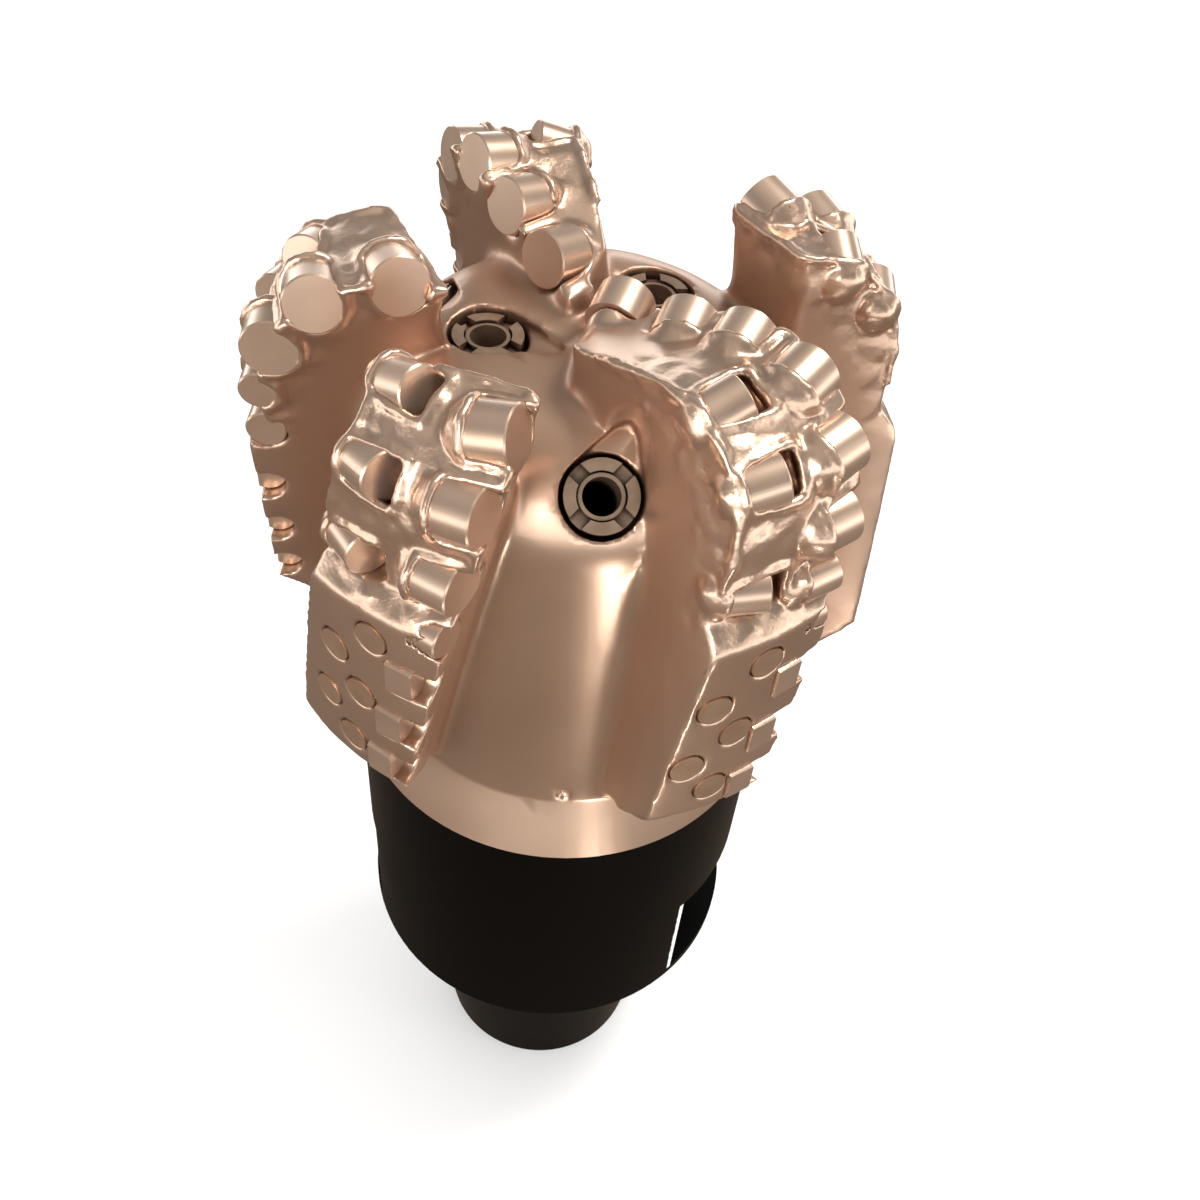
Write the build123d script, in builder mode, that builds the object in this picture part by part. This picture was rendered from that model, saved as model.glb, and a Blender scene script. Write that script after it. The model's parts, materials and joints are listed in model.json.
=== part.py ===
from build123d import *
import os
from math import asin, cos, degrees, pi, radians, sin, sqrt, tan

# Fixed cutter drill bit, five spiral blades, standing on the cap of its pin with the
# nose up. Millimetres, +Z towards the nose, origin at the middle of the cap's floor.

# ---------------------------------------------------------------- driving dimensions
GAUGE_RADIUS = 111.125          # hole size 8-3/4 in
SHOULDER_ROUND = 46.0           # cutting profile, gauge to nose
NOSE_ROUND = 24.0               # cutting profile, nose to cone
CONE_ANGLE = 17.0               # fall of the profile towards the centre, degrees
CROWN_HEIGHT = 215.8            # cutter tips at the nose to the joint with the shank
BACK_RAKE = 12.0                # lean of the cutter faces, degrees
BACKUP_RAKE = 20.0              # lean of the backup cutter faces, degrees

HUB_RADIUS = 73.5               # floor of the junk slots
HUB_DROP = 34.0                 # hub's top below the cutter tips
HUB_ROUND = 37.5
COLLAR_HEIGHT = 24.0            # cone that widens from the hub to the shank
BLADE_DROP = 8.0                # blade tops below the cutter tips
BLADE_LEAN = 0.2                # sideways run of a blade for each mm of height
BLADE_FOOT_DROP = 153.0         # lower end of the gauge pads, below the nose
PAD_TOP_DROP = 66.0             # upper end of the gauge pads, below the nose
PAD_UNDERCUT = 0.8              # pads lie this far inside the gauge
FOOT_START = 40.0               # inner end of a blade's foot, inside the hub
FOOT_SHARE = 0.5                # share of the gauge at which its trailing side begins
WALL_AHEAD = 1.5                # blade's leading wall ahead of the cutter faces
BLADE_SINK = 4.0                # reach of a pad's lower bevel into the hub
BLADE_CORNER = 8.0              # round of the blades' inner ends, at the nose
FOOT_CORNER = 1.0               # and at their feet, inside the hub
MAX_TURN = 22.0                 # most that a cutter turns from its wall's normal, degrees

PRIMARY_RADIUS = 9.525
GAUGE_CUTTER_RADIUS = 6.72
BACKUP_RADIUS = 7.94
CUTTER_LENGTH = 13.2
CUTTER_CHAMFER = 0.5
BRAZE_GAP = 0.08
POCKET_AHEAD = 9.0              # how far a pocket is open in front of its cutter
HUMP_REACH = 7.0                # swelling of the blade behind a cutter
HUMP_ROUND = 6.0                # round of its rear end
BACKUP_DROP = 1.5               # backup tips below the primary tips
BACKUP_SLOT = 6.0               # open slot in front of a backup cutter
BACKUP_ROOT = 3.5               # least blade left behind a backup cutter
TRIMMER_DROPS = (98.0, 123.0, 146.0)
TRIMMER_INSET = 3.5             # trimmer axes inside the gauge
TRIMMER_SETBACK = 5.0           # trimmer faces behind the leading wall
TRIMMER_LENGTH = 9.5
INSERT_RADIUS, INSERT_DEPTH = 5.75, 10.0
INSERT_GROOVE = 0.9             # width and depth of the groove round an insert
# Drop below the nose and distance behind the leading wall of each gauge insert.
INSERT_ROWS = ((85.0, 22.5), (115.5, 22.5), (142.0, 22.5), (100.0, 35.0), (127.5, 35.0))

SHANK_RADIUS = 83.0
SHANK_LENGTH = 130.6
SHANK_BEVEL = 6.0
SPIGOT_RADIUS, SPIGOT_LENGTH = 55.0, 50.0
SPIGOT_FIT = 0.05
FACE_RADIUS = 67.65             # make-up shoulder
PIN_BASE_RADIUS = 58.74         # API 4-1/2 REG pin
PIN_END_RADIUS = 45.24
PIN_LENGTH = 107.95
PIN_RELIEF = 12.7
BORE_RADIUS = 28.575
BREAKER_HEIGHT = 56.0
BREAKER_DEPTH = 13.4
BREAKER_ABOVE_EDGE = 4.5
BREAKER_AZIMUTH = -11.0

CAP_WALL = 3.2
CAP_FLOOR = 3.0
CAP_FIT = 0.2

PLENUM_RADIUS = 38.0
PLENUM_TOP_DROP = 72.0          # top of the inner chamber below the nose
PORT_RADIUS = 13.0
PORT_DEPTH = 10.0
PORT_RELIEF = 22.0              # reach of the pointed relief beside a port
PORT_RELIEF_RADIUS = 3.0        # its tip
PORT_RELIEF_DEPTH = 4.0
PORT_RELIEF_TURN = 68.0         # its direction, from sideways towards the nose, degrees
NOZZLE_RADIUS = 11.5
NOZZLE_LENGTH = 30.0
NOZZLE_RECESS = 2.0
NOZZLE_FIT = 0.1
ORIFICE_RADIUS = 5.9
ORIFICE_SHARE = 0.4             # straight share of a nozzle's length
PASSAGE_RADIUS = 7.5
LUG_COUNT = 4
LUG_TURN = 45.0
LUG_DEPTH = 2.6
LUG_SLOT = 5.0
LUG_RING = 3.8                  # width of the lug ring
COLLAR_WIDTH = 1.2              # raised collar round a nozzle's orifice
COLLAR_DROP = 0.8
SEAL_SECTION = 1.5              # radius of the o-ring's section
SPOT_RADIUS = 2.5               # spot drilled in the floor of one junk slot
SPOT_AZIMUTH = -87.0
SPOT_RISE = 3.0

# Length of the cutting profile, gauge to axis, that the blades' places below are given
# for: with a longer or shorter profile they spread or close up.
PLACES_LENGTH = 140.1

# Blades in order round the bit. direction: azimuth of the leading wall in plan;
# offset: how far that wall stands ahead of the axis at the shoulder's lower end;
# start, tail: distance of the blade's inner end from the axis, leading and trailing side;
# neck, foot: thickness at that inner end and at the blade's foot; setback: backup cutters
# behind the leading wall; primary, small, backup: places of the cutters along the cutting
# profile, inwards from the gauge.
BLADES = {
    "blade_1": dict(direction=122.6, offset=0.0, start=4.0, tail=6.0, thickness=58.0, neck=22.0,
                    foot=50.0, primary=(118.5, 94.5, 69.5, 42.0, 14.0), small=(-6.0, -24.0),
                    setback=31.0, backup=(58.0, 30.0)),
    "blade_2": dict(direction=194.2, offset=0.0, start=47.0, tail=60.0, thickness=46.0, neck=42.0,
                    foot=46.0, primary=(80.5, 45.6, 17.1), small=(-5.0, -23.7),
                    setback=32.0, backup=(40.0, 16.0)),
    "blade_3": dict(direction=254.35, offset=0.0, start=72.0, tail=70.0, thickness=48.0, neck=47.0,
                    foot=46.0, primary=(49.3, 19.9, -10.0), small=(-31.0,),
                    setback=33.0, backup=(53.0, 21.0, -13.0)),
    "blade_4": dict(direction=316.0, offset=7.0, start=-9.0, tail=17.0, thickness=45.0, neck=46.0,
                    foot=37.0, primary=(130.0, 108.0, 86.0, 56.0, 28.5, 1.0), small=(-18.0, -32.0),
                    setback=27.0, backup=(60.0, 29.0, -13.0)),
    "blade_5": dict(direction=31.0, offset=4.0, start=58.0, tail=60.0, thickness=47.0, neck=44.0,
                    foot=47.0, primary=(67.0, 39.5, 12.0), small=(-9.0, -27.0),
                    setback=31.0, backup=(52.0, 24.0)),
}
# Nozzles: azimuth, distance from the axis, rise of the nozzle's axis in degrees.
NOZZLES = {
    "nozzle_1": (-83.0, 64.8, 48.0),
    "nozzle_2": (-170.0, 32.0, 90.0),
    "nozzle_3": (50.0, 33.0, 90.0),
    "nozzle_4": (87.0, 66.5, 44.0),
    "nozzle_5": (158.0, 62.0, 52.0),
}

# ---------------------------------------------------------------- levels
z_pin_end = CAP_FLOOR
z_face = z_pin_end + PIN_LENGTH
z_shank_edge = z_face + SHANK_BEVEL
z_joint = z_shank_edge + SHANK_LENGTH
z_nose = z_joint + CROWN_HEIGHT
z_shoulder = z_nose - SHOULDER_ROUND
z_foot = z_nose - BLADE_FOOT_DROP
wall_low = z_joint + COLLAR_HEIGHT / 2
pad_radius = GAUGE_RADIUS - PAD_UNDERCUT
far = GAUGE_RADIUS * 1.2
nose_radius = GAUGE_RADIUS - SHOULDER_ROUND
shoulder_length = SHOULDER_ROUND * pi / 2
nose_length = NOSE_ROUND * radians(CONE_ANGLE)
cone_start_radius = nose_radius - NOSE_ROUND * sin(radians(CONE_ANGLE))
profile_length = shoulder_length + nose_length + cone_start_radius / cos(radians(CONE_ANGLE))
spread = profile_length / PLACES_LENGTH
for blade in BLADES.values():
    for key in ("primary", "small", "backup"):
        blade[key] = [place * spread for place in blade[key]]
    for key in ("start", "tail", "neck"):
        blade[key] *= spread


def profile_point(place):
    """Radius, height and outward angle of the cutting profile at a place along it."""
    if place < 0:
        return GAUGE_RADIUS, z_shoulder + place, 0.0
    if place < shoulder_length:
        angle = place / SHOULDER_ROUND
        return (nose_radius + SHOULDER_ROUND * cos(angle),
                z_shoulder + SHOULDER_ROUND * sin(angle), degrees(angle))
    turn = min(place - shoulder_length, nose_length) / NOSE_ROUND
    run = max(place - shoulder_length - nose_length, 0.0)
    slope = radians(CONE_ANGLE)
    return (nose_radius - NOSE_ROUND * sin(turn) - run * cos(slope),
            z_nose - NOSE_ROUND * (1 - cos(turn)) - run * sin(slope), 90 + degrees(turn))


def hub_height(radius):
    """Height of the hub's surface at a distance from the axis."""
    outside = max(radius - (HUB_RADIUS - HUB_ROUND), 0.0)
    return z_nose - HUB_DROP - HUB_ROUND + sqrt(max(HUB_ROUND**2 - outside**2, 0.0))


def wall_offset(blade, height):
    """Distance of a blade's leading wall ahead of the axis at a height."""
    return blade["offset"] + BLADE_LEAN * (height - z_shoulder)


def on_blade(blade, radius, height, setback=0.0):
    """Azimuth in degrees of the point at a radius and height on a blade."""
    ahead = wall_offset(blade, height) - setback
    return blade["direction"] + degrees(asin(ahead / max(radius, abs(ahead) * 1.01)))


def cutter_plane(blade, place, cutter_radius, setback=0.0, drop=0.0, rake=BACK_RAKE):
    """Plane of a cutter's face, its normal pointing the way that the blade turns."""
    tip_radius, tip_height, tip_angle = profile_point(place)
    inset = cutter_radius + drop
    radius = tip_radius - inset * cos(radians(tip_angle))
    height = tip_height - inset * sin(radians(tip_angle))
    place_azimuth = on_blade(blade, radius, height, setback)
    azimuth = radians(place_azimuth)
    turn = min(place_azimuth - blade["direction"], MAX_TURN)
    facing = radians(blade["direction"] + turn)
    centre = Vector(radius * cos(azimuth), radius * sin(azimuth), height)
    outward = Vector(cos(facing), sin(facing), 0)
    forward = Vector(-sin(facing), cos(facing), 0)
    normal = outward * cos(radians(tip_angle)) + Vector(0, 0, 1) * sin(radians(tip_angle))
    face = forward * cos(radians(rake)) + normal * sin(radians(rake))
    up = normal * cos(radians(rake)) - forward * sin(radians(rake))
    return Plane(origin=centre, x_dir=up, z_dir=face)


def backup_setback(blade, place):
    """Setback of a backup cutter, less where the blade behind it would be too thin."""
    radius, height, _ = profile_point(place)
    share = (radius - blade["tail"]) / (far - blade["tail"])
    top = blade["neck"] + (blade["thickness"] - blade["neck"]) * share
    high = (height - wall_low) / (z_nose - wall_low)
    thickness = top * high + blade["foot"] * (1 - high)
    return min(blade["setback"], thickness - CUTTER_LENGTH - BACKUP_ROOT)


def gauge_plane(blade, drop, setback, radius):
    """Plane square to a radius at a place on a gauge pad, its normal outwards."""
    height = z_nose - drop
    azimuth = radians(on_blade(blade, radius, height, setback))
    outward = Vector(cos(azimuth), sin(azimuth), 0)
    return Plane(origin=outward * radius + Vector(0, 0, height), x_dir=(0, 0, 1), z_dir=outward)


def nozzle_plane(nozzle):
    """Plane at the hub's surface over a nozzle, its normal along the jet."""
    azimuth, radius, rise = nozzle
    turn, lift = radians(azimuth), radians(rise)
    outward = Vector(cos(turn), sin(turn), 0)
    jet = outward * cos(lift) + Vector(0, 0, 1) * sin(lift)
    return Plane(
        origin=outward * radius + Vector(0, 0, hub_height(radius)),
        x_dir=(-sin(turn), cos(turn), 0),
        z_dir=jet,
    )


def places(planes):
    return Locations(*[plane.location for plane in planes])


back = (Align.CENTER, Align.CENTER, Align.MAX)
up_from = (Align.CENTER, Align.CENTER, Align.MIN)

primary_planes = {
    name: [cutter_plane(blade, place, PRIMARY_RADIUS) for place in blade["primary"]]
    for name, blade in BLADES.items()
}
small_planes = {
    name: [cutter_plane(blade, place, GAUGE_CUTTER_RADIUS) for place in blade["small"]]
    for name, blade in BLADES.items()
}
backup_planes = {
    name: [cutter_plane(blade, place, BACKUP_RADIUS, backup_setback(blade, place),
                        BACKUP_DROP, BACKUP_RAKE) for place in blade["backup"]]
    for name, blade in BLADES.items()
}
trimmer_planes = {
    name: [cutter_plane(blade, SHOULDER_ROUND - drop, TRIMMER_INSET, TRIMMER_SETBACK, rake=0.0)
           for drop in TRIMMER_DROPS]
    for name, blade in BLADES.items()
}
insert_planes = {
    name: [gauge_plane(blade, drop, setback, pad_radius) for drop, setback in INSERT_ROWS]
    for name, blade in BLADES.items()
}


# ---------------------------------------------------------------- blades, rough
# Five leaning walls within one envelope, that of the blade tops and gauge pads.
slope = radians(CONE_ANGLE)
top_round = SHOULDER_ROUND - BLADE_DROP
cone_round = NOSE_ROUND - BLADE_DROP
cone_edge = (nose_radius - cone_round * sin(slope),
             z_nose - NOSE_ROUND + cone_round * cos(slope))
pad_foot_run = pad_radius - HUB_RADIUS + BLADE_SINK

with BuildPart() as envelope:
    with BuildSketch(Plane.XZ):
        with BuildLine():
            Polyline((0, wall_low), (pad_radius - pad_foot_run, wall_low),
                     (pad_radius - pad_foot_run, z_foot - pad_foot_run),
                     (pad_radius, z_foot), (pad_radius, z_nose - PAD_TOP_DROP - BLADE_DROP),
                     (GAUGE_RADIUS - BLADE_DROP, z_nose - PAD_TOP_DROP),
                     (GAUGE_RADIUS - BLADE_DROP, z_shoulder))
            CenterArc((nose_radius, z_shoulder), top_round, 0, 90)
            CenterArc((nose_radius, z_nose - NOSE_ROUND), cone_round, 90, CONE_ANGLE)
            Polyline(cone_edge, (0, cone_edge[1] - cone_edge[0] * tan(slope)), (0, wall_low))
        make_face()
    revolve(axis=Axis.Z)


def blade_wall(blade):
    """Leaning wall of a blade, lofted from its foot to the nose and cut to the envelope."""
    along = Vector(1, 0, 0).rotate(Axis.Z, blade["direction"])
    with BuildPart() as wall:
        for height in (wall_low, z_nose):
            lead = wall_offset(blade, height) + WALL_AHEAD
            if height == wall_low:
                trail = lead - blade["foot"]
                # The trailing wall's foot runs straight at the axis.
                reach = sqrt(pad_radius**2 - trail**2)
                start = (min(blade["start"], FOOT_START), lead)
                tail = (reach * FOOT_SHARE, trail * FOOT_SHARE)
                end = (far, trail * far / reach)
                corner = FOOT_CORNER
            else:
                start = (blade["start"], lead)
                tail = (blade["tail"], lead - blade["neck"])
                end = (far, lead - blade["thickness"])
                corner = BLADE_CORNER
            with BuildSketch(Plane(origin=(0, 0, height), x_dir=along, z_dir=(0, 0, 1))) as section:
                with BuildLine():
                    Polyline(start, (far, lead), end, tail, close=True)
                make_face()
                inner = section.vertices().sort_by(Axis((0, 0, 0), along))[:2]
                fillet(inner, corner)
        loft(ruled=True)
        add(envelope.part, mode=Mode.INTERSECT)
    return wall.part


def hump(radius):
    """Swelling of the blade behind a cutter: a short rod with a rounded end."""
    with BuildPart() as swelling:
        Cylinder(radius, HUMP_REACH, align=back)
        fillet(swelling.edges().sort_by(Axis.Z)[0], HUMP_ROUND)
    return swelling.part


def behind(planes, length):
    return places([plane.offset(-length) for plane in planes])


def pocket(radius, length, ahead):
    """Room for a cutter and the open way in front of it."""
    with BuildPart() as room:
        Cylinder(radius + BRAZE_GAP, length + ahead, align=up_from)
    return room.part


# ---------------------------------------------------------------- what is cut away
# Cutter and insert pockets of each blade, and the nozzle ports: a wide mouth with a
# relief beside it, a seat, and a passage to the chamber.
cuts = []
for name in BLADES:
    with BuildPart() as pockets:
        with behind(primary_planes[name], CUTTER_LENGTH):
            add(pocket(PRIMARY_RADIUS, CUTTER_LENGTH, POCKET_AHEAD))
        with behind(small_planes[name], CUTTER_LENGTH):
            add(pocket(GAUGE_CUTTER_RADIUS, CUTTER_LENGTH, POCKET_AHEAD))
        with behind(backup_planes[name], CUTTER_LENGTH):
            add(pocket(BACKUP_RADIUS, CUTTER_LENGTH, BACKUP_SLOT))
        with behind(trimmer_planes[name], TRIMMER_LENGTH):
            add(pocket(GAUGE_CUTTER_RADIUS, TRIMMER_LENGTH, POCKET_AHEAD))
        with behind(insert_planes[name], INSERT_DEPTH):
            Cylinder(INSERT_RADIUS + BRAZE_GAP, INSERT_DEPTH + BLADE_DROP, align=up_from)
        with behind(insert_planes[name], INSERT_GROOVE):
            Cylinder(INSERT_RADIUS + INSERT_GROOVE, BLADE_DROP, align=up_from)
    cuts.append(pockets.part)

nozzle_planes = {name: nozzle_plane(nozzle) for name, nozzle in NOZZLES.items()}
port_planes = list(nozzle_planes.values())
with BuildPart() as ports:
    with behind(port_planes, PORT_DEPTH):
        Cylinder(PORT_RADIUS, PORT_DEPTH * 3, align=up_from)
    for plane in port_planes:
        with BuildSketch(plane.offset(-PORT_RELIEF_DEPTH)):
            Circle(PORT_RADIUS)
            with PolarLocations(PORT_RELIEF, 1, start_angle=PORT_RELIEF_TURN):
                Circle(PORT_RELIEF_RADIUS)
            make_hull()
        extrude(amount=PORT_DEPTH * 3)
    with behind(port_planes, NOZZLE_RECESS + NOZZLE_LENGTH):
        Cylinder(NOZZLE_RADIUS + NOZZLE_FIT, NOZZLE_LENGTH, align=up_from)
        Cylinder(PASSAGE_RADIUS, PLENUM_RADIUS, align=back)
cuts.append(ports.part)

# ---------------------------------------------------------------- crown
# Steel crown in six nodes that meet face to face: the hub with the inner chamber and the
# bore for the shank's spigot, and the five blades that stand on it.
plenum_top = z_nose - PLENUM_TOP_DROP
plenum_centre = plenum_top - PLENUM_RADIUS
hub_top = z_nose - HUB_DROP
spigot_top = z_joint + SPIGOT_LENGTH

with BuildPart() as hub_block:
    with BuildSketch(Plane.XZ):
        with BuildLine():
            Polyline((0, hub_top), (0, z_joint), (SHANK_RADIUS, z_joint),
                     (HUB_RADIUS, z_joint + COLLAR_HEIGHT), (HUB_RADIUS, hub_top - HUB_ROUND))
            CenterArc((HUB_RADIUS - HUB_ROUND, hub_top - HUB_ROUND), HUB_ROUND, 0, 90)
            Line((HUB_RADIUS - HUB_ROUND, hub_top), (0, hub_top))
        make_face()
    revolve(axis=Axis.Z)

with BuildPart() as hub:
    add(hub_block.part)
    with BuildSketch(Plane.XZ):
        with BuildLine():
            Polyline((0, plenum_top), (0, z_joint), (SPIGOT_RADIUS + SPIGOT_FIT, z_joint),
                     (SPIGOT_RADIUS + SPIGOT_FIT, spigot_top), (PLENUM_RADIUS, spigot_top),
                     (PLENUM_RADIUS, plenum_centre))
            CenterArc((0, plenum_centre), PLENUM_RADIUS, 0, 90)
        make_face()
    revolve(axis=Axis.Z, mode=Mode.SUBTRACT)
    for cut in cuts:
        add(cut, mode=Mode.SUBTRACT)
    # Small spot drilled in the floor of a junk slot.
    spot = Vector(HUB_RADIUS, 0, z_joint + COLLAR_HEIGHT + SPOT_RISE)
    with Locations(spot.rotate(Axis.Z, SPOT_AZIMUTH)):
        Sphere(SPOT_RADIUS, mode=Mode.SUBTRACT)
hub.part.label = "hub"

primary_hump = hump(PRIMARY_RADIUS)
small_hump = hump(GAUGE_CUTTER_RADIUS)
backup_hump = hump(BACKUP_RADIUS)
finished = [hub.part]
walls = []
for name, blade in BLADES.items():
    with BuildPart() as body:
        add(blade_wall(blade))
        with behind(primary_planes[name], CUTTER_LENGTH):
            add(primary_hump)
        with behind(small_planes[name], CUTTER_LENGTH):
            add(small_hump)
        with behind(backup_planes[name], CUTTER_LENGTH):
            add(backup_hump)
        add(hub_block.part, mode=Mode.SUBTRACT)
        # Blades that meet near the axis stop at each other.
        for wall in walls:
            add(wall, mode=Mode.SUBTRACT)
        walls.append(body.part)
        for cut in cuts:
            add(cut, mode=Mode.SUBTRACT)
    body.part.label = name
    finished.append(body.part)

# ---------------------------------------------------------------- shank
# Forged steel: spigot into the crown, breaker slots, make-up shoulder, tapered pin, bore.
with BuildPart() as shank:
    with BuildSketch(Plane.XZ):
        with BuildLine():
            Polyline(
                (BORE_RADIUS, z_pin_end), (PIN_END_RADIUS, z_pin_end),
                (PIN_BASE_RADIUS, z_face - PIN_RELIEF), (PIN_BASE_RADIUS, z_face),
                (FACE_RADIUS, z_face), (SHANK_RADIUS, z_shank_edge), (SHANK_RADIUS, z_joint),
                (SPIGOT_RADIUS, z_joint), (SPIGOT_RADIUS, z_joint + SPIGOT_LENGTH),
                (BORE_RADIUS, z_joint + SPIGOT_LENGTH), close=True,
            )
        make_face()
    revolve(axis=Axis.Z)
    breaker_middle = z_shank_edge + BREAKER_ABOVE_EDGE + BREAKER_HEIGHT / 2
    for azimuth in (BREAKER_AZIMUTH, BREAKER_AZIMUTH + 180):
        flat = Plane(origin=(0, 0, breaker_middle),
                     x_dir=Vector(1, 0, 0).rotate(Axis.Z, azimuth), z_dir=(0, 0, 1))
        with Locations(flat.location):
            with Locations((SHANK_RADIUS - BREAKER_DEPTH, 0, 0)):
                Box(BREAKER_DEPTH * 2, SHANK_RADIUS * 2, BREAKER_HEIGHT,
                    align=(Align.MIN, Align.CENTER, Align.CENTER), mode=Mode.SUBTRACT)
shank.part.label = "shank"

# ---------------------------------------------------------------- thread protector
# Moulded cap pushed over the pin up to the make-up shoulder. The bit stands on it.
with BuildPart() as thread_protector:
    with BuildSketch(Plane.XZ):
        with BuildLine():
            Polyline(
                (0, 0), (PIN_END_RADIUS + CAP_WALL, 0),
                (PIN_BASE_RADIUS + CAP_FIT + CAP_WALL, z_face - PIN_RELIEF),
                (PIN_BASE_RADIUS + CAP_FIT + CAP_WALL, z_face),
                (PIN_BASE_RADIUS + CAP_FIT, z_face),
                (PIN_BASE_RADIUS + CAP_FIT, z_face - PIN_RELIEF),
                (PIN_END_RADIUS + CAP_FIT, z_pin_end), (0, z_pin_end), close=True,
            )
        make_face()
    revolve(axis=Axis.Z)
thread_protector.part.label = "thread_protector"


# ---------------------------------------------------------------- cutters and inserts
def compact(radius, length):
    """Cutter: carbide rod with its diamond face at the origin, bevelled at that face."""
    with BuildPart() as rod:
        Cylinder(radius, length, align=back)
        chamfer(rod.faces().sort_by(Axis.Z)[-1].edges(), CUTTER_CHAMFER)
    return rod.part


primary_cutter = compact(PRIMARY_RADIUS, CUTTER_LENGTH)
gauge_cutter = compact(GAUGE_CUTTER_RADIUS, CUTTER_LENGTH)
backup_cutter = compact(BACKUP_RADIUS, CUTTER_LENGTH)
trimmer = compact(GAUGE_CUTTER_RADIUS, TRIMMER_LENGTH)

finished += [shank.part, thread_protector.part]
for name in BLADES:
    ladder = [(primary_cutter, plane) for plane in primary_planes[name]]
    ladder += [(gauge_cutter, plane) for plane in small_planes[name]]
    for number, (rod, plane) in enumerate(ladder, start=1):
        with BuildPart() as cutter:
            with Locations(plane.location):
                add(rod)
        cutter.part.label = f"{name}_cutter_{number}"
        finished.append(cutter.part)
    with BuildPart() as backups:
        with places(backup_planes[name]):
            add(backup_cutter)
    backups.part.label = f"{name}_backup_cutters"
    finished.append(backups.part)
    with BuildPart() as trimmers:
        with places(trimmer_planes[name]):
            add(trimmer)
        with Locations((0, 0, z_joint)):
            Cylinder(GAUGE_RADIUS, CROWN_HEIGHT, align=up_from, mode=Mode.INTERSECT)
    trimmers.part.label = f"{name}_gauge_trimmers"
    finished.append(trimmers.part)
    with BuildPart() as inserts:
        with behind(insert_planes[name], INSERT_DEPTH):
            Cylinder(INSERT_RADIUS, INSERT_DEPTH, align=up_from)
    inserts.part.label = f"{name}_gauge_inserts"
    finished.append(inserts.part)

# ---------------------------------------------------------------- nozzles and their seals
seal_ring = NOZZLE_RADIUS - SEAL_SECTION
seal_groove = SEAL_SECTION * 2
with BuildPart() as lugs:
    Cylinder(NOZZLE_RADIUS, LUG_DEPTH, align=back)
    Cylinder(NOZZLE_RADIUS - LUG_RING, LUG_DEPTH, align=back, mode=Mode.SUBTRACT)
    with PolarLocations(0, LUG_COUNT, start_angle=LUG_TURN):
        Box(NOZZLE_RADIUS * 2, LUG_SLOT, LUG_DEPTH, align=(Align.MIN, Align.CENTER, Align.MAX),
            mode=Mode.SUBTRACT)
for name, plane in nozzle_planes.items():
    seat = plane.offset(-NOZZLE_RECESS)
    with BuildPart() as nozzle:
        with BuildSketch(Plane.XZ):
            with BuildLine():
                Polyline(
                    (ORIFICE_RADIUS, -COLLAR_DROP), (ORIFICE_RADIUS, -NOZZLE_LENGTH * ORIFICE_SHARE),
                    (PASSAGE_RADIUS, -NOZZLE_LENGTH), (seal_ring - SEAL_SECTION, -NOZZLE_LENGTH),
                    (seal_ring - SEAL_SECTION, seal_groove - NOZZLE_LENGTH),
                    (NOZZLE_RADIUS, seal_groove - NOZZLE_LENGTH), (NOZZLE_RADIUS, -LUG_DEPTH),
                    (ORIFICE_RADIUS + COLLAR_WIDTH, -LUG_DEPTH),
                    (ORIFICE_RADIUS + COLLAR_WIDTH, -COLLAR_DROP), close=True,
                )
            make_face()
        revolve(axis=Axis.Z)
        add(lugs.part)
    with BuildPart() as placed:
        with Locations(seat.location):
            add(nozzle.part)
    placed.part.label = name
    finished.append(placed.part)
with BuildPart() as seals:
    with behind(port_planes, NOZZLE_RECESS + NOZZLE_LENGTH - SEAL_SECTION):
        Torus(seal_ring, SEAL_SECTION)
seals.part.label = "nozzle_seals"
finished.append(seals.part)

# ---------------------------------------------------------------- write the pieces
os.makedirs("parts", exist_ok=True)
for piece in finished:
    export_step(piece, f"parts/{piece.label}.step")
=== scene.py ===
import json
import math

import bmesh
import bpy
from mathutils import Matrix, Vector

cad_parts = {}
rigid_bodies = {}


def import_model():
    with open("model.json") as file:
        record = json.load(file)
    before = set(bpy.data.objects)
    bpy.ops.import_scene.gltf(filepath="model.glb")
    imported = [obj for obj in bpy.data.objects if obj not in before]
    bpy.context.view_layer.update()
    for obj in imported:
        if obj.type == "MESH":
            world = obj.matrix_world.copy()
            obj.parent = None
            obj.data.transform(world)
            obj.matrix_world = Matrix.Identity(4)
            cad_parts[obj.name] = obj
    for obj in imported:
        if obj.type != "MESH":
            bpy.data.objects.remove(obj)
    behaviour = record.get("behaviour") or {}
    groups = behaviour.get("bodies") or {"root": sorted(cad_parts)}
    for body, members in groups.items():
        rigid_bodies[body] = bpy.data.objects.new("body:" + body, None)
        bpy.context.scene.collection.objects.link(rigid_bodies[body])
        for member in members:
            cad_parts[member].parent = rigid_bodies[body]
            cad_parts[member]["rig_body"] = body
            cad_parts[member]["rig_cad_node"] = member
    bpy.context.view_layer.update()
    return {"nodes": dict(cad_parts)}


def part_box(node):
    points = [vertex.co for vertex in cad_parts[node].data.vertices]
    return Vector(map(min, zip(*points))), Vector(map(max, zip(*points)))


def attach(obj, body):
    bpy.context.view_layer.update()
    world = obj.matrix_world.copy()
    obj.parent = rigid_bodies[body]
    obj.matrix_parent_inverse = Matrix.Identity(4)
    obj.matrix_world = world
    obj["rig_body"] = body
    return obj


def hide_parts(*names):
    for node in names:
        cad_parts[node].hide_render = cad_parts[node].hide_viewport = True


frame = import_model()
nodes = frame["nodes"]

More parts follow.
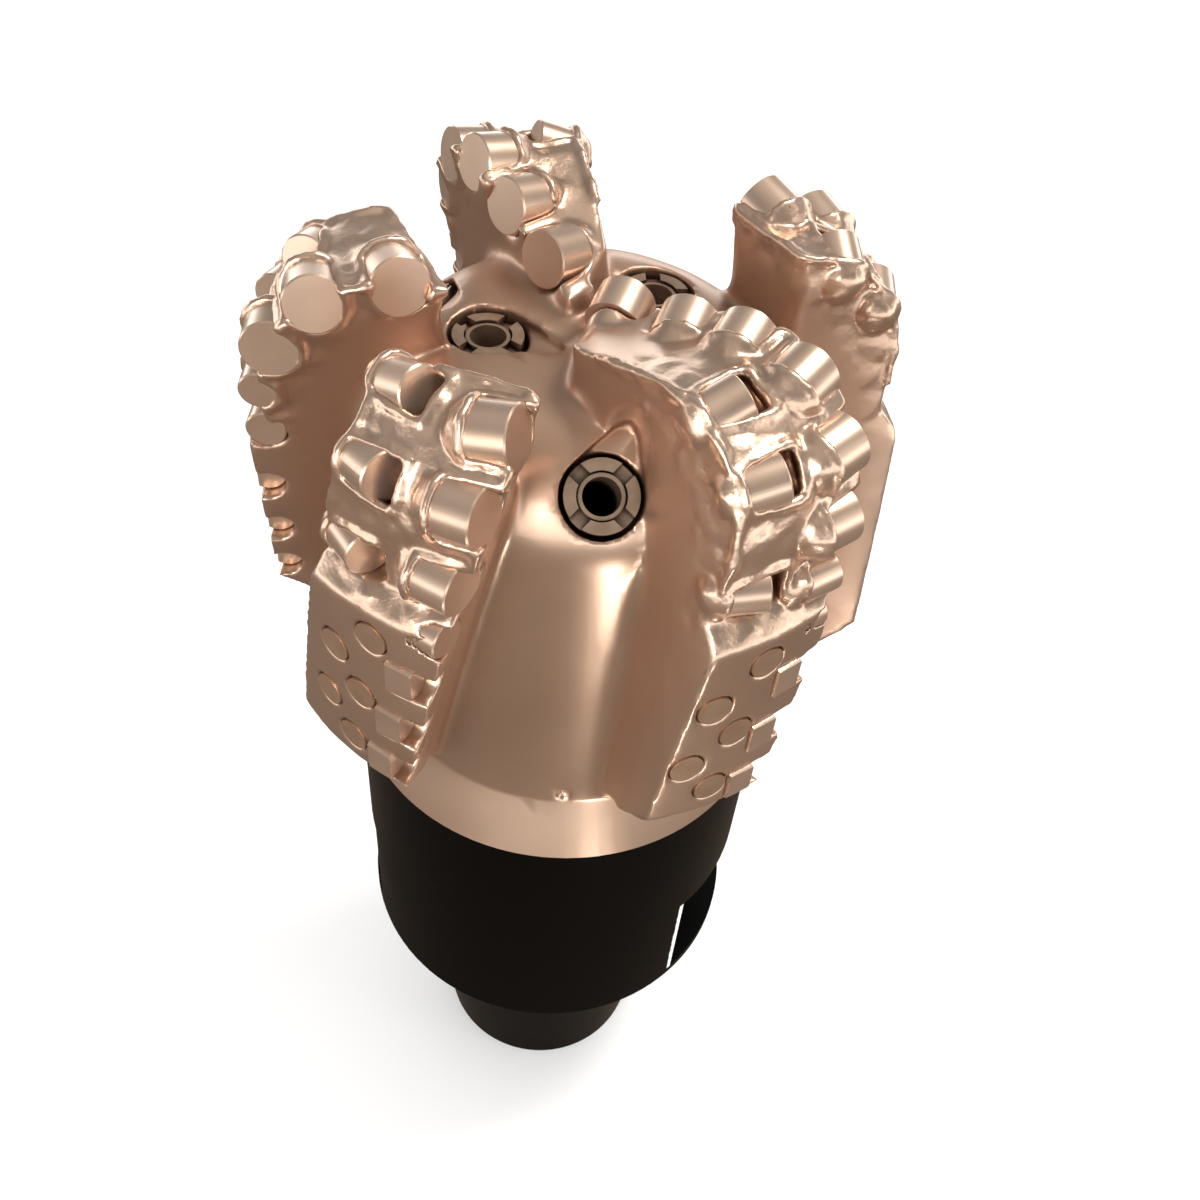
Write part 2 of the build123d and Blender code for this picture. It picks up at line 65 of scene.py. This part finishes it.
# ------------------------------------------------------------------ crown
# Milled steel crown with its five blades, welded hardfacing round the cutter pockets and
# along the blade edges, under one coat of metallic copper-rose paint. It replaces the
# plain CAD hub and blades and stays on their walls, pockets and ports.
NUMBERS = range(1, 6)                    # of the blades, and of the nozzles
CROWN_NODES = ["hub"] + [f"blade_{number}" for number in NUMBERS]
hub_low, hub_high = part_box("hub")
JOINT, HUB_TOP = round(hub_low.z, 5), round(hub_high.z, 5)
HUB_RADIUS, HUB_ROUND = 0.0735, 0.0375   # barrel, and the rounding of its dome
BARREL_LOW, PAD_TOP = 0.276, 0.3975      # heights of the barrel's foot and the pads' tops
SEAM = 0.00002                           # closes the CAD mesh's loose triangles
bpy.ops.object.select_all(action="DESELECT")
for name in CROWN_NODES:
    nodes[name].select_set(True)
bpy.context.view_layer.objects.active = nodes[CROWN_NODES[0]]
bpy.ops.object.duplicate()
bpy.ops.object.join()
crown = bpy.context.active_object
crown.name = "crown"
crown.data.name = "crown"
crown.parent = None
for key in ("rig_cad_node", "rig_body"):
    if key in crown:
        del crown[key]
bpy.ops.object.mode_set(mode="EDIT")
bpy.ops.mesh.select_all(action="SELECT")
bpy.ops.mesh.remove_doubles(threshold=SEAM)
bpy.ops.object.mode_set(mode="OBJECT")


def off_hub(point):
    """Distance of a point off the floor of the junk slots, and the way straight out of it."""
    radius = math.hypot(point.x, point.y)
    corner_radius, corner_height = HUB_RADIUS - HUB_ROUND, HUB_TOP - HUB_ROUND
    out = Vector((point.x, point.y, 0)).normalized()
    if point.z < corner_height:
        return radius - HUB_RADIUS, out
    if radius < corner_radius:
        return point.z - HUB_TOP, Vector((0, 0, 1))
    out = out * (radius - corner_radius) + Vector((0, 0, point.z - corner_height))
    return out.length - HUB_ROUND, out.normalized()


# Weld beads: the sharp outer edges of the blades and pockets, drawn as thick cords.
BEAD_RADIUS, BEAD_CORNER = 0.0017, math.radians(32)
BEAD_LOW, BEAD_RISE = PAD_TOP + 0.001, 0.020
shape = bmesh.new()
shape.from_mesh(crown.data)
outer = {
    edge.index for edge in shape.edges
    if edge.is_manifold and edge.calc_face_angle_signed(0) > BEAD_CORNER
    and min(vertex.co.z for vertex in edge.verts) > BEAD_LOW
    and min(off_hub(vertex.co)[0] for vertex in edge.verts) > BEAD_RISE
}
shape.free()
for face in crown.data.polygons:
    face.select = False
for vertex in crown.data.vertices:
    vertex.select = False
for edge in crown.data.edges:
    edge.select = edge.index in outer
    if edge.select:
        for index in edge.vertices:
            crown.data.vertices[index].select = True
bpy.context.tool_settings.mesh_select_mode = (False, True, False)
bpy.ops.object.mode_set(mode="EDIT")
bpy.ops.mesh.duplicate()
bpy.ops.mesh.separate(type="SELECTED")
bpy.ops.object.mode_set(mode="OBJECT")
beads = [piece for piece in bpy.context.selected_objects if piece is not crown][0]
bpy.ops.object.select_all(action="DESELECT")
beads.select_set(True)
bpy.context.view_layer.objects.active = beads
bpy.ops.object.convert(target="CURVE")
beads = bpy.context.active_object
beads.data.bevel_depth = BEAD_RADIUS
beads.data.bevel_resolution = 2
beads.data.use_fill_caps = True
bpy.ops.object.convert(target="MESH")
crown.select_set(True)
bpy.context.view_layer.objects.active = crown
bpy.ops.object.join()

# Beads, blades and hub made one skin.
SKIN_GRID = 0.0009
skin = crown.modifiers.new("skin", "REMESH")
skin.mode, skin.voxel_size = "VOXEL", SKIN_GRID
bpy.ops.object.modifier_apply(modifier="skin")


def fade(value, start, full):
    """Nothing at the start, 1 from full on, and even between, upwards or downwards."""
    return min(1, max(0, (value - start) / (full - start)))


# Where the skin is worked. Each pair says where a finish starts and where it is full; a
# rise is off the floor of the junk slots, a height off the standing face.
INSIDE = -0.0015                                            # below this, chamber and ports
COVE_RISE, COVE_OFF_PORT = (0.018, 0.010), (0.024, 0.030)   # blades' roots
EDGE_RISE, EDGE_OFF_PORT = 0.002, 0.022                     # all corners of the blades
STEP_RISE, STEP_HEIGHTS = 0.024, (0.387, 0.403)             # step over the gauge pads
WELD_RISE, WELD_HEIGHT = (0.019, 0.023), (0.3895, 0.3925)   # hardfaced tops
PAD_HEIGHT, PAD_LUMPS = 0.30, 0.2                           # gauge pads, nearly plain
ports = [sum(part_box(f"nozzle_{number}"), Vector()) / 2 for number in NUMBERS]
for name in ("root", "edges", "step", "lumps"):
    crown.vertex_groups.new(name=name)
levels = {}
for vertex in crown.data.vertices:
    rise, height = off_hub(vertex.co)[0], vertex.co.z
    if rise < INSIDE or height < BARREL_LOW:
        continue
    port = min((vertex.co - middle).length for middle in ports)
    cove = fade(rise, *COVE_RISE) * fade(port, *COVE_OFF_PORT)
    weld = min(fade(rise, *WELD_RISE), fade(height, *WELD_HEIGHT))
    if cove > 0:
        levels.setdefault(("root", round(cove, 1)), []).append(vertex.index)
    if rise > EDGE_RISE and port > EDGE_OFF_PORT:
        levels.setdefault(("edges", 1.0), []).append(vertex.index)
    if rise > STEP_RISE and STEP_HEIGHTS[0] < height < STEP_HEIGHTS[1]:
        levels.setdefault(("step", 1.0), []).append(vertex.index)
    if weld > 0:
        levels.setdefault(("lumps", round(weld, 1)), []).append(vertex.index)
    elif rise > WELD_RISE[0] and height > PAD_HEIGHT:
        levels.setdefault(("lumps", PAD_LUMPS), []).append(vertex.index)
for (name, weight), members in levels.items():
    crown.vertex_groups[name].add(members, weight, "REPLACE")


def ease(group, passes):
    """Smooths the crown within one of its vertex groups."""
    smooth = crown.modifiers.new(group, "SMOOTH")
    smooth.vertex_group, smooth.factor, smooth.iterations = group, 0.5, passes
    bpy.ops.object.modifier_apply(modifier=group)


# Roots eased into wide coves and the steps into fillets, then pools and drops of weld.
ease("root", 200)
ease("step", 30)
for name, size, height in (("pools", 0.0080, 0.0020), ("drops", 0.0030, 0.0007)):
    pattern = bpy.data.textures.new(name, "CLOUDS")
    pattern.noise_scale, pattern.noise_depth = size, 1
    weld = crown.modifiers.new(name, "DISPLACE")
    weld.texture, weld.strength, weld.mid_level = pattern, height, 0.5
    weld.vertex_group, weld.texture_coords = "lumps", "LOCAL"
    bpy.ops.object.modifier_apply(modifier=name)
ease("edges", 7)
TRIANGLES = 190000
thin = crown.modifiers.new("thin", "DECIMATE")
thin.ratio = TRIANGLES / sum(len(face.vertices) - 2 for face in crown.data.polygons)
bpy.ops.object.modifier_apply(modifier="thin")
bpy.ops.object.shade_smooth()

# The collar's lower rim, cut off and drawn sharp again down to the edge of the shank.
RIM, RIM_SPREAD = 0.003, 1.0145
bpy.ops.object.mode_set(mode="EDIT")
bpy.ops.mesh.select_all(action="SELECT")
bpy.ops.mesh.bisect(plane_co=(0, 0, JOINT + RIM), plane_no=(0, 0, 1), clear_inner=True)
bpy.ops.mesh.extrude_edges_move(TRANSFORM_OT_translate={"value": (0, 0, -RIM)})
bpy.ops.transform.resize(value=(RIM_SPREAD, RIM_SPREAD, 1), center_override=(0, 0, JOINT))
bpy.ops.mesh.mark_sharp()
bpy.ops.mesh.bridge_edge_loops()
bpy.ops.object.mode_set(mode="OBJECT")

# How much of a vertex is hardfaced, and how deep it lies in the shade of the blades: on their side
# walls or on the hub's dome between them, where the paint gets painted shade.
GRIT_HEIGHT = (0.387, 0.391)
WALL_STEEP, WALL_FOOT, WALL_TOP = (0.45, 0.80), (-0.001, 0.003), (0.037, 0.021)
DOME_HEIGHT, DOME_SKIN, DOME_SHADE = (0.402, 0.422), 0.005, 0.7
hardfaced = crown.data.attributes.new("hardfaced", "FLOAT", "POINT")
wall_shade = crown.data.attributes.new("wall_shade", "FLOAT", "POINT")
for vertex in crown.data.vertices:
    rise, out = off_hub(vertex.co)
    height, steep = vertex.co.z, 1 - abs(vertex.normal.dot(out))
    wall = fade(steep, *WALL_STEEP) * fade(rise, *WALL_FOOT) * fade(rise, *WALL_TOP)
    dome = min(DOME_SHADE, fade(height, *DOME_HEIGHT)) if abs(rise) < DOME_SKIN else 0
    hardfaced.data[vertex.index].value = fade(rise, *WELD_RISE) * fade(height, *GRIT_HEIGHT)
    wall_shade.data[vertex.index].value = max(wall, dome)


def new_material(name):
    """A material with a node tree, and that tree."""
    material = bpy.data.materials.new(name)
    material.use_nodes = True
    return material, material.node_tree


def fill(tree, node, inputs):
    """Wires the inputs that are given a socket, and sets those that are given a value."""
    for name, value in inputs.items():
        if isinstance(value, bpy.types.NodeSocket):
            tree.links.new(value, node.inputs[name])
        else:
            node.inputs[name].default_value = value


def add_node(tree, kind, inputs, **settings):
    """A shader node with its settings made first, since they decide which inputs it has."""
    node = tree.nodes.new("ShaderNode" + kind)
    for name, value in settings.items():
        setattr(node, name, value)
    fill(tree, node, inputs)
    return node


def place_on(tree):
    """Places on the piece, which are the row's own places, in metres."""
    return add_node(tree, "TexCoord", {}).outputs["Object"]


def mottle(tree, scale, detail=2):
    """Soft patches over the piece, 0 to 1; the scale is how many there are to a metre."""
    inputs = {"Vector": place_on(tree), "Scale": scale, "Detail": detail}
    return add_node(tree, "TexNoise", inputs).outputs["Fac"]


def corners(tree, reach):
    """1 on open faces, down to 0 deep in grooves and corners narrower than the reach."""
    return add_node(tree, "AmbientOcclusion", {"Distance": reach}, samples=4).outputs["AO"]


def attribute(tree, name):
    """A value that the mesh carries on its vertices."""
    return add_node(tree, "Attribute", {}, attribute_name=name).outputs["Fac"]


def sharpen(tree, value, start, full):
    """0 at the start and 1 at full."""
    inputs = {"Value": value, "From Min": start, "From Max": full}
    return add_node(tree, "MapRange", inputs).outputs["Result"]


def spread(tree, value, low, high):
    """A value between 0 and 1 spread from low to high."""
    inputs = {"Value": value, "To Min": low, "To Max": high}
    return add_node(tree, "MapRange", inputs).outputs["Result"]


def tones(tree, value, *stops):
    """Colours along a value between 0 and 1, from stops of a position and a colour."""
    ramp = add_node(tree, "ValToRGB", {"Fac": value})
    marks = ramp.color_ramp.elements
    for mark, (position, colour) in zip(marks, (stops[0], stops[-1])):
        mark.position, mark.color = position, (*colour, 1)
    for position, colour in stops[1:-1]:
        marks.new(position).color = (*colour, 1)
    return ramp.outputs["Color"]


def blend(tree, factor, under, over):
    """The under colour where the factor is 0, the over colour where it is 1."""
    inputs = {"Factor": factor, "A": under, "B": over}
    return add_node(tree, "Mix", inputs, data_type="RGBA").outputs["Result"]


def calculate(tree, operation, *values):
    """One sum on numbers or sockets."""
    return add_node(tree, "Math", dict(enumerate(values)), operation=operation).outputs["Value"]


def grit(tree, height, strength, depth):
    """Fine roughness that only the light sees."""
    inputs = {"Height": height, "Strength": strength, "Distance": depth}
    return add_node(tree, "Bump", inputs).outputs["Normal"]


def set_surface(tree, inputs):
    """The material's surface: its colour, gloss and the rest."""
    fill(tree, tree.nodes["Principled BSDF"], inputs)


def coat(material, *pieces):
    """Gives pieces this material alone."""
    for piece in pieces:
        piece.data.materials.clear()
        piece.data.materials.append(material)


paint, tree = new_material("copper_rose_paint")
patches = mottle(tree, 16, 3)
copper = tones(tree, patches, (0.3, (0.60, 0.415, 0.305)), (0.7, (0.69, 0.49, 0.37)))
# Painted shade on the blades' side walls and the dome between them: darker, redder copper; less
# gloss.
shaded = attribute(tree, "wall_shade")
shade_painted_copper = blend(tree, shaded, copper, (0.47, 0.285, 0.195, 1))
matter = calculate(tree, "MULTIPLY_ADD", shaded, 0.22, spread(tree, patches, 0.25, 0.36))
# Painted shade in the corners and grooves, dark brown.
open_to_light = sharpen(tree, corners(tree, 0.012), 0.15, 0.80)
corner_shaded = blend(tree, open_to_light, (0.27, 0.145, 0.09, 1), shade_painted_copper)
# Coarser on the hardfaced tops of the blades, fine on the hub's barrel.
coarse = spread(tree, attribute(tree, "hardfaced"), 0.05, 0.3)
set_surface(tree, {
    "Base Color": corner_shaded, "Metallic": 0.92, "Roughness": matter,
    "Coat Weight": 0.3, "Coat Roughness": 0.2,
    "Normal": grit(tree, mottle(tree, 700, 3), coarse, 0.0004),
})
coat(paint, crown)
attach(crown, "root")
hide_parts(*CROWN_NODES)

# ------------------------------------------------------------------ cutters
# Diamond-faced carbide rods brazed into the pockets, painted over with the crown: the
# polished faces take the paint thinner and glossier.
face_paint, tree = new_material("cutter_paint")
patches = mottle(tree, 45)
set_surface(tree, {
    "Base Color": tones(tree, patches, (0.3, (0.59, 0.415, 0.31)), (0.7, (0.67, 0.49, 0.37))),
    "Metallic": 0.85, "Roughness": spread(tree, patches, 0.28, 0.36),
    "Coat Weight": 0.6, "Coat Roughness": 0.16,
})
coat(face_paint, *(node for name, node in nodes.items() if "cutter" in name or "trimmers" in name))

# ------------------------------------------------------------------ gauge inserts
# Flush carbide buttons pressed into holes in the gauge pads, to hold the hole's size.
# They lie under the same paint as the crown, a little duller.
button, tree = new_material("insert_paint")
patches = mottle(tree, 120)
set_surface(tree, {
    "Base Color": tones(tree, patches, (0.3, (0.58, 0.39, 0.275)), (0.7, (0.68, 0.48, 0.345))),
    "Metallic": 0.9, "Roughness": 0.33,
})
coat(button, *(nodes[f"blade_{number}_gauge_inserts"] for number in NUMBERS))

# ------------------------------------------------------------------ nozzles
# Carbide jet nozzles screwed into their seats. The overspray on their lugs is thin and
# worn; the slots between the lugs and the orifices are darkened near black as painted shade.
jet, tree = new_material("nozzle_paint")
worn = tones(tree, mottle(tree, 150), (0.3, (0.42, 0.29, 0.205)), (0.7, (0.56, 0.40, 0.285)))
open_face = sharpen(tree, corners(tree, 0.004), 0.45, 0.85)
set_surface(tree, {
    "Base Color": blend(tree, open_face, (0.02, 0.014, 0.012, 1), worn),
    "Metallic": 0.85, "Roughness": 0.34,
})
coat(jet, *(nodes[f"nozzle_{number}"] for number in NUMBERS))

# ------------------------------------------------------------------ nozzle seals
# Black rubber o-rings, moulded, which sit in the grooves at the nozzles' inner ends and
# keep the mud from washing round them.
rubber, tree = new_material("black_rubber")
set_surface(tree, {
    "Base Color": (0.012, 0.012, 0.012, 1), "Roughness": 0.6,
    "Normal": grit(tree, mottle(tree, 1200), 0.2, 0.0001),
})
coat(rubber, nodes["nozzle_seals"])

# ------------------------------------------------------------------ shank
# Forged steel shank, welded to the crown, in satin black paint. Along the upright edges of
# the breaker slot, which the breaker's jaws bear on, it is worn to steel, drawn as a painted
# highlight: a near-white band.
SHANK_RADIUS, SLOT_DEPTH, SLOT_AZIMUTH = 0.083, 0.0134, math.radians(-11)
SLOT_MIDDLE, SLOT_HALF_HEIGHT = 0.14945, 0.028
WEAR_AND_HIGHLIGHT_OUT, WEAR_AND_HIGHLIGHT_FULL, RAGGED = 0.0031, 0.0026, 0.0014    # from the edge, and how unevenly
slot_out = SHANK_RADIUS - SLOT_DEPTH
slot_half = math.sqrt(SHANK_RADIUS**2 - slot_out**2)
facing = Vector((math.cos(SLOT_AZIMUTH), math.sin(SLOT_AZIMUTH), 0))
sideways = Vector((-facing.y, facing.x, 0))
black, tree = new_material("black_paint")
place = place_on(tree)
flat = add_node(tree, "VectorMath", {0: place, 1: (1, 1, 0)}, operation="MULTIPLY").outputs[0]
gaps = []
for end in (1, -1):
    inputs = {0: flat, 1: facing * slot_out + sideways * slot_half * end}
    gaps.append(add_node(tree, "VectorMath", inputs, operation="DISTANCE").outputs["Value"])
nearest = calculate(tree, "MINIMUM", *gaps)
ragged = calculate(tree, "MULTIPLY_ADD", mottle(tree, 260), RAGGED, nearest)
bare_edge_and_highlight = sharpen(tree, ragged, WEAR_AND_HIGHLIGHT_OUT, WEAR_AND_HIGHLIGHT_FULL)
level = add_node(tree, "SeparateXYZ", {"Vector": place}).outputs["Z"]
beside = calculate(tree, "COMPARE", level, SLOT_MIDDLE, SLOT_HALF_HEIGHT)
# Worn steel together with a painted highlight: near white, beside the slot only.
worn_edge_and_highlight = calculate(tree, "MULTIPLY", bare_edge_and_highlight, beside)
set_surface(tree, {
    "Base Color": blend(tree, worn_edge_and_highlight, (0.0009, 0.0008, 0.0008, 1), (0.86, 0.85, 0.83, 1)),
    "Roughness": spread(tree, mottle(tree, 22), 0.24, 0.36), "Specular IOR Level": 0.06,
})
coat(black, nodes["shank"])

# ------------------------------------------------------------------ thread protector
# Moulded black plastic cap, screwed over the pin to save its thread. It is glossy with
# faint scuffs.
plastic, tree = new_material("black_plastic")
set_surface(tree, {
    "Base Color": (0.0015, 0.002, 0.0025, 1),
    "Roughness": spread(tree, mottle(tree, 70, 4), 0.08, 0.2),
    "Specular IOR Level": 0.09, "Specular Tint": (0.75, 0.87, 1.0, 1),
})
coat(plastic, nodes["thread_protector"])

# ------------------------------------------------------------------ floor
# A wide sheet of pale card that the bit stands on. Glossy reflections see it as brown,
# so that it gives the copper paint its dark parts.
bpy.ops.mesh.primitive_plane_add(size=4, location=(0, 0, 0))
floor = bpy.context.active_object
floor.name = "floor"
card, tree = new_material("pale_floor")
mirrored = add_node(tree, "LightPath", {}).outputs["Is Glossy Ray"]
set_surface(tree, {
    "Base Color": blend(tree, mirrored, (0.93, 0.93, 0.93, 1), (0.13, 0.096, 0.070, 1)),
    "Roughness": 0.9,
})
coat(card, floor)

# ------------------------------------------------------------------ room, lamps, camera
# White room for the eye and for soft light. Glossy reflections see a darker one instead,
# with a bright band of window at the horizon.
BAND = ((0.44, 2.6), (0.54, 2.6), (0.59, 0.6), (0.68, 0.24), (0.82, 0.20))
room = bpy.data.worlds.new("studio")
bpy.context.scene.world = room
room.use_nodes = True
tree = room.node_tree
way = add_node(tree, "TexCoord", {}).outputs["Generated"]
upward = sharpen(tree, add_node(tree, "SeparateXYZ", {"Vector": way}).outputs["Z"], -1, 1)
band = [(height, (level, level, level * 0.98)) for height, level in BAND]
walls = tones(tree, upward, (0.40, (0.20, 0.17, 0.15)), *band, (1.0, (0.60, 0.58, 0.54)))
mirrored = add_node(tree, "LightPath", {}).outputs["Is Glossy Ray"]
colour = blend(tree, mirrored, (1, 1, 1, 1), walls)
fill(tree, tree.nodes["Background"], {"Color": colour, "Strength": 1})


def softbox(name, place, aim, size, power):
    """A lamp behind a rectangle of cloth, aimed at a point and unseen by the camera."""
    lamp = bpy.data.lights.new(name, "AREA")
    lamp.shape, lamp.energy = "RECTANGLE", power
    lamp.size, lamp.size_y = size
    lamp.color = (1, 0.97, 0.92)
    holder = bpy.data.objects.new(name, lamp)
    bpy.context.scene.collection.objects.link(holder)
    holder.location = place
    holder.rotation_euler = (Vector(aim) - Vector(place)).to_track_quat("-Z", "Y").to_euler()
    holder.visible_camera = False


softbox("key", (-0.50, -1.2, 0.85), (0, 0, 0.4), size=(0.45, 0.30), power=10)
softbox("overhead", (0.55, 0.25, 1.5), (0, 0, 0.4), size=(0.50, 0.50), power=11)
softbox("side", (1.3, -0.5, 0.9), (0, 0, 0.3), size=(0.25, 0.90), power=1.5)
softbox("low", (0.15, -0.42, 0.03), (0, 0, 0.33), size=(0.035, 0.16), power=0.4)

lens = bpy.data.cameras.new("photo_view")
lens.lens, lens.sensor_width = 39.02, 36
camera = bpy.data.objects.new("photo_view", lens)
bpy.context.scene.collection.objects.link(camera)
camera.location = (0, -0.3467, 0.6726)
camera.rotation_euler = [math.radians(angle) for angle in (43.012, -4.004, 2.216)]
bpy.context.scene.camera = camera
bpy.context.scene.view_settings.view_transform = "Standard"
